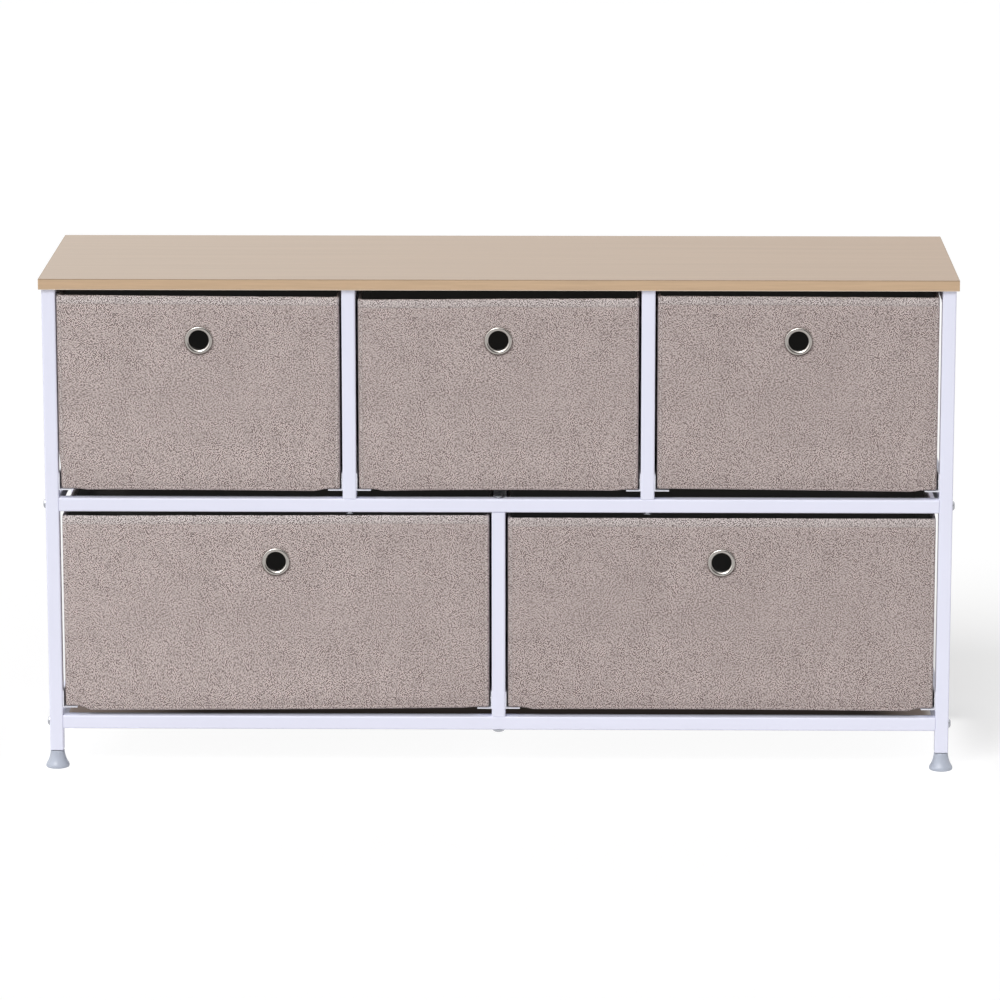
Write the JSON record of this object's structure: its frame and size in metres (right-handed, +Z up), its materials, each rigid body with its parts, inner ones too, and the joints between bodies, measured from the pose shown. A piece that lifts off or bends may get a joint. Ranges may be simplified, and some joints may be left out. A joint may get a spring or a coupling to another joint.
{
  "type": "fabric drawer dresser",
  "caption": "Low wide dresser: white square-tube frame, pale oak-look top, and sliding fabric bins with metal eyelet pulls in two tiers, on flared levelling feet.",
  "frame": {"origin": "on the floor, under the middle of the top board", "axes": "+X along the width, -Y out of the front where the bins pull out, +Z up"},
  "size_m": [1.005, 0.305, 0.55],
  "materials": {
    "oak_board": "pale oak grain, satin",
    "oak_edge": "warm oak edge band, satin",
    "white_frame": "white powder coat",
    "white_runner": "white painted sheet",
    "zinc": "bright zinc plate",
    "plug_plastic": "black moulded plastic",
    "foot_plastic": "cloudy pale plastic",
    "bin_fabric": "speckled greige weave",
    "bin_lining": "charcoal non-woven lining",
    "stiff_board": "grey board",
    "eyelet_metal": "polished nickel"
  },
  "bodies": {
    "frame": {"top_board": "oak_board", "edge_band": "oak_edge", "board_screws": "zinc", "side_frame_left": "white_frame", "side_frame_right": "white_frame", "upper_divider_left": "white_frame", "upper_divider_right": "white_frame", "lower_divider": "white_frame", "leg_bolts": "zinc", "divider_screws": "zinc", "tube_plugs": "plug_plastic", "runner_rivets": "zinc", "middle_rail_front": "white_frame", "bottom_rail_front": "white_frame", "middle_rail_back": "white_frame", "bottom_rail_back": "white_frame", "runner_upper_left_a": "white_runner", "runner_upper_left_b": "white_runner", "runner_upper_middle_a": "white_runner", "runner_upper_middle_b": "white_runner", "runner_upper_right_a": "white_runner", "runner_upper_right_b": "white_runner", "runner_lower_left_a": "white_runner", "runner_lower_left_b": "white_runner", "runner_lower_right_a": "white_runner", "runner_lower_right_b": "white_runner"},
    "bin_upper_left": {"bin_shell_upper_left": "bin_fabric", "wall_boards_upper_left": "stiff_board", "lining_upper_left": "bin_lining", "base_board_upper_left": "stiff_board", "eyelet_upper_left": "eyelet_metal", "eyelet_washer_upper_left": "eyelet_metal"},
    "bin_upper_middle": {"bin_shell_upper_middle": "bin_fabric", "wall_boards_upper_middle": "stiff_board", "lining_upper_middle": "bin_lining", "base_board_upper_middle": "stiff_board", "eyelet_upper_middle": "eyelet_metal", "eyelet_washer_upper_middle": "eyelet_metal"},
    "bin_upper_right": {"bin_shell_upper_right": "bin_fabric", "wall_boards_upper_right": "stiff_board", "lining_upper_right": "bin_lining", "base_board_upper_right": "stiff_board", "eyelet_upper_right": "eyelet_metal", "eyelet_washer_upper_right": "eyelet_metal"},
    "bin_lower_left": {"bin_shell_lower_left": "bin_fabric", "wall_boards_lower_left": "stiff_board", "lining_lower_left": "bin_lining", "base_board_lower_left": "stiff_board", "eyelet_lower_left": "eyelet_metal", "eyelet_washer_lower_left": "eyelet_metal"},
    "bin_lower_right": {"bin_shell_lower_right": "bin_fabric", "wall_boards_lower_right": "stiff_board", "lining_lower_right": "bin_lining", "base_board_lower_right": "stiff_board", "eyelet_lower_right": "eyelet_metal", "eyelet_washer_lower_right": "eyelet_metal"},
    "levelling_foot_front_left": {"foot_front_left": "foot_plastic"},
    "levelling_foot_front_right": {"foot_front_right": "foot_plastic"},
    "levelling_foot_back_left": {"foot_back_left": "foot_plastic"},
    "levelling_foot_back_right": {"foot_back_right": "foot_plastic"}
  },
  "joints": [
    {"name": "slide_upper_left", "type": "slide", "parent": "frame", "child": "bin_upper_left", "axis": [0, -1, 0], "range_m": [0, 0.2]},
    {"name": "slide_upper_middle", "type": "slide", "parent": "frame", "child": "bin_upper_middle", "axis": [0, -1, 0], "range_m": [0, 0.2]},
    {"name": "slide_upper_right", "type": "slide", "parent": "frame", "child": "bin_upper_right", "axis": [0, -1, 0], "range_m": [0, 0.2]},
    {"name": "slide_lower_left", "type": "slide", "parent": "frame", "child": "bin_lower_left", "axis": [0, -1, 0], "range_m": [0, 0.2]},
    {"name": "slide_lower_right", "type": "slide", "parent": "frame", "child": "bin_lower_right", "axis": [0, -1, 0], "range_m": [0, 0.2]},
    {"name": "turn_foot_front_left", "type": "hinge", "parent": "frame", "child": "levelling_foot_front_left", "pos_m": [-0.4895, -0.1395, 0], "axis": [0, 0, 1], "continuous": true},
    {"name": "turn_foot_front_right", "type": "hinge", "parent": "frame", "child": "levelling_foot_front_right", "pos_m": [0.4895, -0.1395, 0], "axis": [0, 0, 1], "continuous": true},
    {"name": "turn_foot_back_left", "type": "hinge", "parent": "frame", "child": "levelling_foot_back_left", "pos_m": [-0.4895, 0.1395, 0], "axis": [0, 0, 1], "continuous": true},
    {"name": "turn_foot_back_right", "type": "hinge", "parent": "frame", "child": "levelling_foot_back_right", "pos_m": [0.4895, 0.1395, 0], "axis": [0, 0, 1], "continuous": true}
  ]
}
